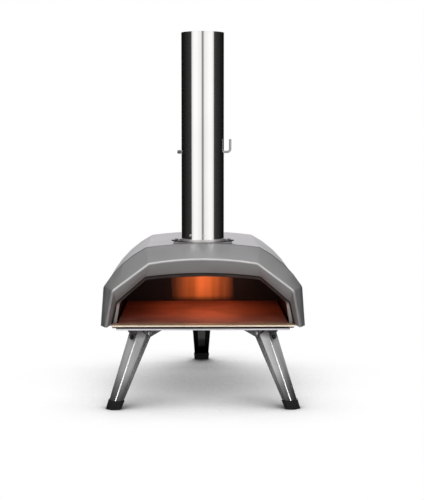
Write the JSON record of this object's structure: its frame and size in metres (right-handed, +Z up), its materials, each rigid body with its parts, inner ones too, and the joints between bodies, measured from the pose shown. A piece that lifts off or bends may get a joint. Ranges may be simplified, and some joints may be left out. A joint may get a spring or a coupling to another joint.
{
  "type": "portable pizza oven",
  "caption": "Tabletop pizza oven: arched sheet-steel chamber with a wide mouth, round chimney with butterfly damper, rear fuel hatch and drawer, on folding channel legs.",
  "frame": {"origin": "on the floor under the middle of the oven's outer box, legs unfolded", "axes": "+Z up along the chimney, +Y towards the firebox at the rear, -Y out of the mouth, +X to the right seen from in front of the mouth"},
  "size_m": [0.413, 0.6276, 0.753],
  "materials": {
    "cast_grey_steel": "satin, bead-blasted",
    "mouth_steel": "satin",
    "brushed_shell_steel": "fine brushed",
    "brushed_leg_steel": "brushed along the leg",
    "polished_flue_steel": "bright, rolled sheet",
    "warm_lip_steel": "warm tint from heat",
    "heat_tinted_steel": "straw and bronze heat tint",
    "dark_steel": "satin dark",
    "baking_stone": "matt fired ceramic",
    "ceramic_felt": "matt felt",
    "black_rubber": "matt",
    "black_grip": "satin moulded",
    "zinc_fasteners": "bright zinc"
  },
  "bodies": {
    "oven": {"base_pan": "brushed_shell_steel", "chamber_liner": "heat_tinted_steel", "chimney_gasket": "ceramic_felt", "chimney_socket": "dark_steel", "firebox_floor": "dark_steel", "firebox_shell": "brushed_shell_steel", "front_left_leg_bolt": "zinc_fasteners", "front_left_leg_bracket": "dark_steel", "front_left_rivet_1": "zinc_fasteners", "front_left_rivet_2": "zinc_fasteners", "front_right_leg_bolt": "zinc_fasteners", "front_right_leg_bracket": "dark_steel", "front_right_rivet_1": "zinc_fasteners", "front_right_rivet_2": "zinc_fasteners", "hatch_hinge_bracket_left": "brushed_shell_steel", "hatch_hinge_bracket_right": "brushed_shell_steel", "hatch_hinge_pin": "zinc_fasteners", "insulation_blanket": "ceramic_felt", "mouth_frame": "mouth_steel", "nose": "cast_grey_steel", "outer_shell": "brushed_shell_steel", "rear_baffle": "heat_tinted_steel", "rear_leg_bolt": "zinc_fasteners", "rear_leg_bracket": "dark_steel", "rear_panel": "brushed_shell_steel", "rear_panel_screw_1": "zinc_fasteners", "rear_panel_screw_2": "zinc_fasteners", "rear_panel_screw_3": "zinc_fasteners", "rear_panel_screw_4": "zinc_fasteners", "rear_panel_screw_5": "zinc_fasteners", "rear_panel_screw_6": "zinc_fasteners", "rear_rivet_1": "zinc_fasteners", "rear_rivet_2": "zinc_fasteners", "socket_screw_left": "dark_steel", "socket_screw_right": "dark_steel", "stone_tray": "dark_steel", "threshold_lip": "warm_lip_steel"},
    "stone": {"baking_stone": "baking_stone"},
    "chimney": {"chimney_tube": "polished_flue_steel"},
    "damper": {"damper_rod": "zinc_fasteners", "damper_plate": "dark_steel", "damper_cap_nut": "dark_steel", "damper_screw_left": "zinc_fasteners", "damper_screw_right": "zinc_fasteners"},
    "hatch": {"hatch_lid": "brushed_shell_steel", "hatch_handle": "black_grip"},
    "drawer": {"fuel_drawer": "dark_steel", "fuel_grate": "dark_steel", "drawer_handle": "black_grip"},
    "front_left_leg": {"front_left_leg": "brushed_leg_steel", "front_left_foot": "black_rubber"},
    "front_left_lock": {"front_left_leg_button": "black_grip"},
    "front_right_leg": {"front_right_leg": "brushed_leg_steel", "front_right_foot": "black_rubber"},
    "front_right_lock": {"front_right_leg_button": "black_grip"},
    "rear_leg": {"rear_leg": "brushed_leg_steel", "rear_foot": "black_rubber"},
    "rear_lock": {"rear_leg_button": "black_grip"}
  },
  "joints": [
    {"name": "stone_lift", "type": "slide", "parent": "oven", "child": "stone", "axis": [0, 0, 1], "range_m": [0, 0.008]},
    {"name": "chimney_lift", "type": "slide", "parent": "oven", "child": "chimney", "axis": [0, 0, 1], "range_m": [0, 0.05]},
    {"name": "damper_turn", "type": "hinge", "parent": "chimney", "child": "damper", "pos_m": [0, -0.20178, 0.5125], "axis": [1, 0, 0], "range_deg": [0, 90]},
    {"name": "hatch_open", "type": "hinge", "parent": "oven", "child": "hatch", "pos_m": [0, 0.12202, 0.2897], "axis": [1, 0, 0], "range_deg": [0, 100]},
    {"name": "drawer_slide", "type": "slide", "parent": "oven", "child": "drawer", "axis": [0, 1, 0], "range_m": [0, 0.12]},
    {"name": "front_left_leg_fold", "type": "hinge", "parent": "oven", "child": "front_left_leg", "pos_m": [-0.129, -0.23178, 0.147], "axis": [0.7431, -0.6691, 0], "range_deg": [0, 118]},
    {"name": "front_left_lock_press", "type": "slide", "parent": "front_left_leg", "child": "front_left_lock", "axis": [0.5892, 0.6543, -0.4741], "range_m": [0, 0.003], "stiffness_N_per_m": 300},
    {"name": "front_right_leg_fold", "type": "hinge", "parent": "oven", "child": "front_right_leg", "pos_m": [0.129, -0.23178, 0.147], "axis": [0.7431, 0.6691, 0], "range_deg": [0, 118]},
    {"name": "front_right_lock_press", "type": "slide", "parent": "front_right_leg", "child": "front_right_lock", "axis": [-0.5892, 0.6543, -0.4741], "range_m": [0, 0.003], "stiffness_N_per_m": 300},
    {"name": "rear_leg_fold", "type": "hinge", "parent": "oven", "child": "rear_leg", "pos_m": [0, 0.19722, 0.147], "axis": [-1, 0, 0], "range_deg": [0, 118]},
    {"name": "rear_lock_press", "type": "slide", "parent": "rear_leg", "child": "rear_lock", "axis": [0, -0.8805, -0.4741], "range_m": [0, 0.003], "stiffness_N_per_m": 300}
  ]
}
